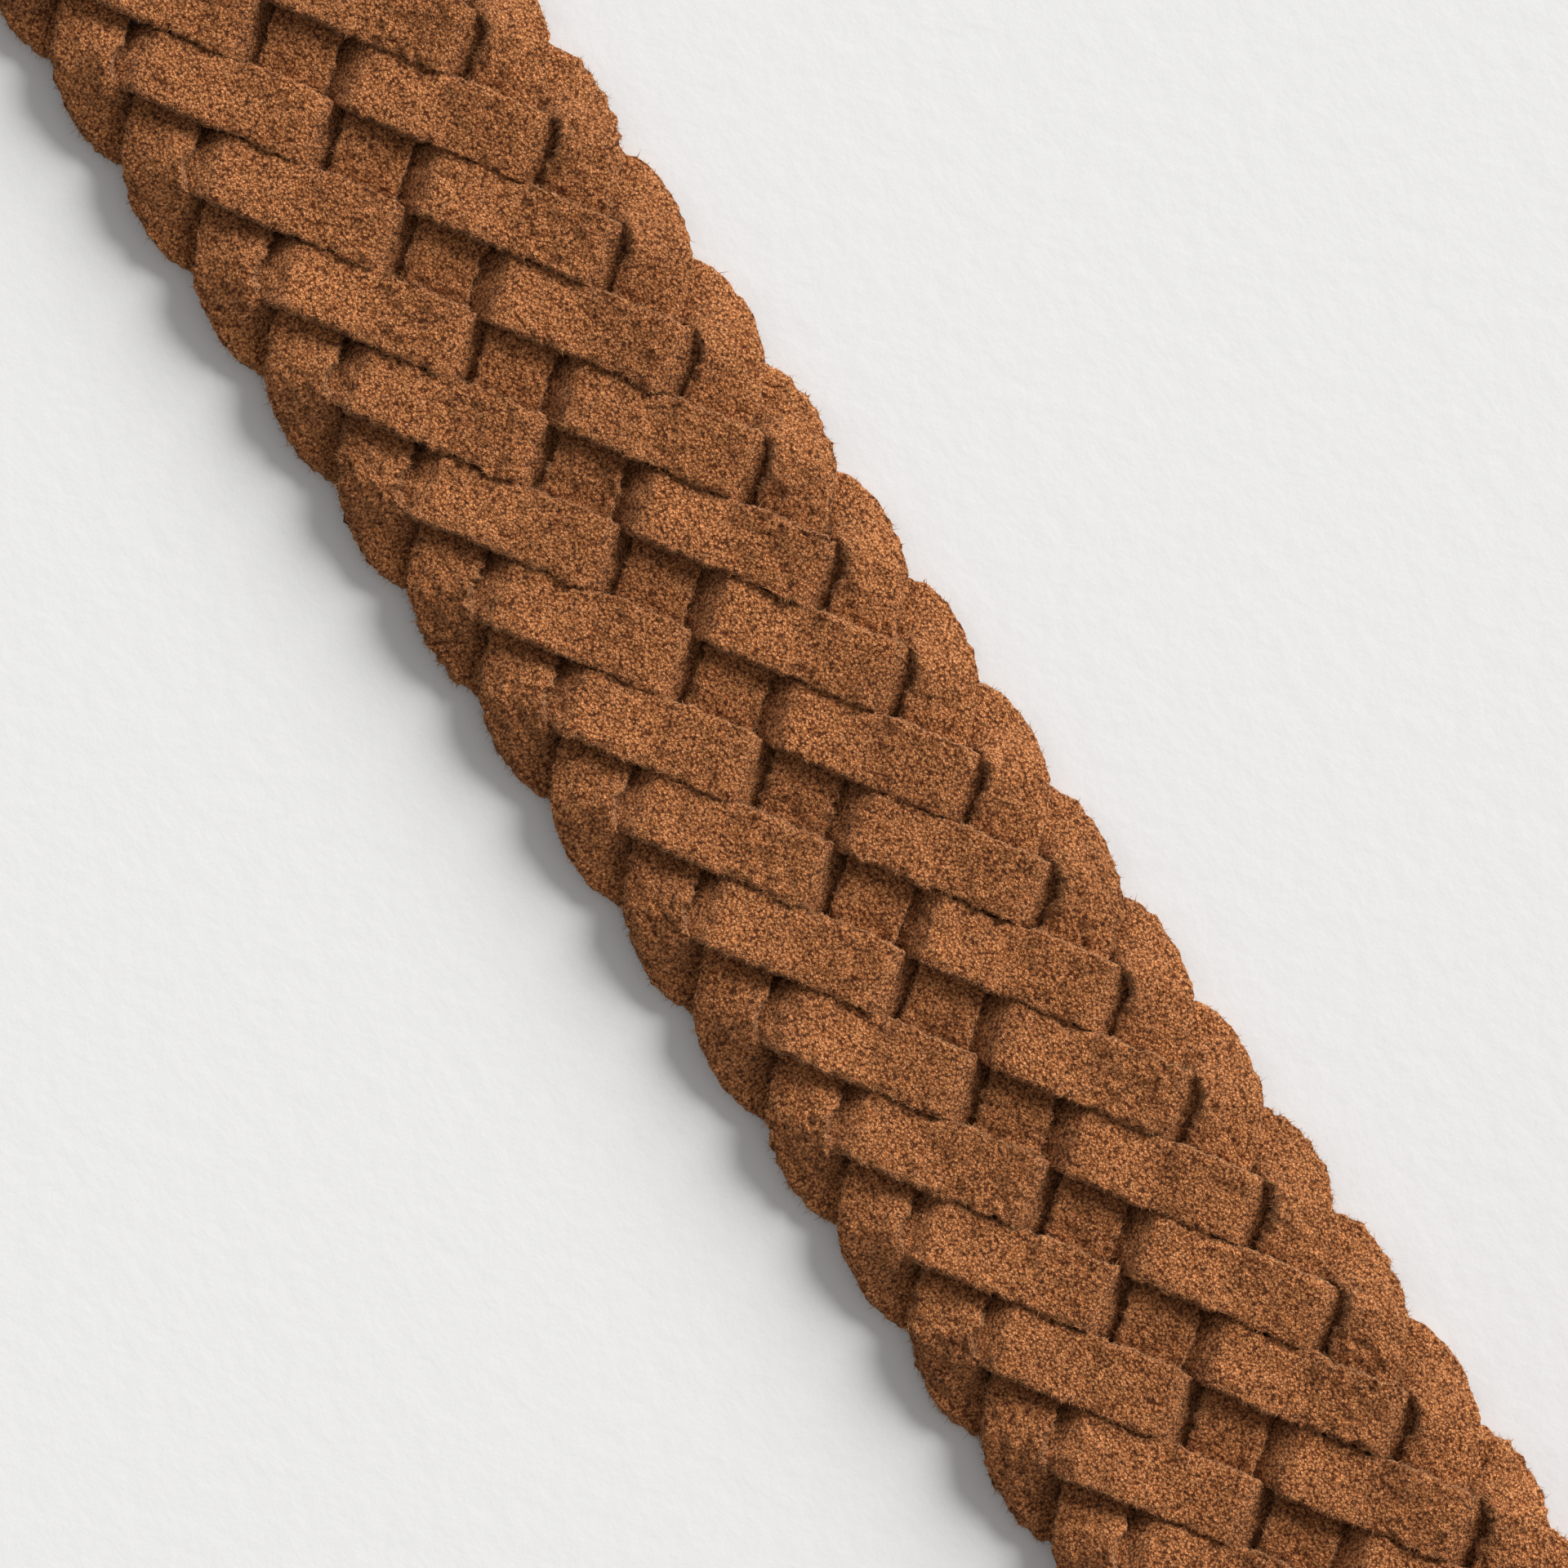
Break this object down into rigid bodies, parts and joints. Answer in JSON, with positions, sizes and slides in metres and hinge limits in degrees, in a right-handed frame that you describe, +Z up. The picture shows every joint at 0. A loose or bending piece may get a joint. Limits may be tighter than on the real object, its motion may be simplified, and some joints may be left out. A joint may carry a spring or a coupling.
{
  "type": "leather belt",
  "caption": "Flat-braided suede belt with a swinging frame buckle, prong and fixed keeper; first stretch laid flat, the rest rolled up with its tip inside.",
  "frame": {"origin": "on the resting plane, straight under the buckle's bar, in the middle of the strap's width", "axes": "+X along the strap from the bar towards the tip, +Y across it, +Z up, out of the belt's face"},
  "size_m": [0.3801, 0.049, 0.0804],
  "materials": {
    "suede": "napped suede lace with raw cut edges, tan brown",
    "leather": "smooth-grained leather, tan brown",
    "leather_lining": "matt lining leather",
    "thread": "waxed thread",
    "brass": "satin antique brass",
    "steel": "drawn steel pin"
  },
  "bodies": {
    "strap": {"braid_lace_1": "suede", "braid_lace_2": "suede", "braid_lace_3": "suede", "braid_lace_4": "suede", "braid_lace_5": "suede", "braid_lace_6": "suede", "braid_lace_7": "suede", "braid_lace_8": "suede", "chape": "leather", "chape_stitches": "thread", "keeper": "leather", "keeper_stitches": "thread", "tip_front": "leather", "tip_lining": "leather_lining", "tip_stitches": "thread"},
    "buckle": {"buckle_frame": "brass", "buckle_bar": "steel"},
    "prong": {"prong": "brass"}
  },
  "joints": [
    {"name": "buckle_swing", "type": "hinge", "parent": "strap", "child": "buckle", "pos_m": [0, 0, 0.0035], "axis": [0, 1, 0], "range_deg": [-25, 70]},
    {"name": "prong_swing", "type": "hinge", "parent": "buckle", "child": "prong", "pos_m": [0, 0, 0.0035], "axis": [0, 1, 0], "range_deg": [0, 80]}
  ]
}
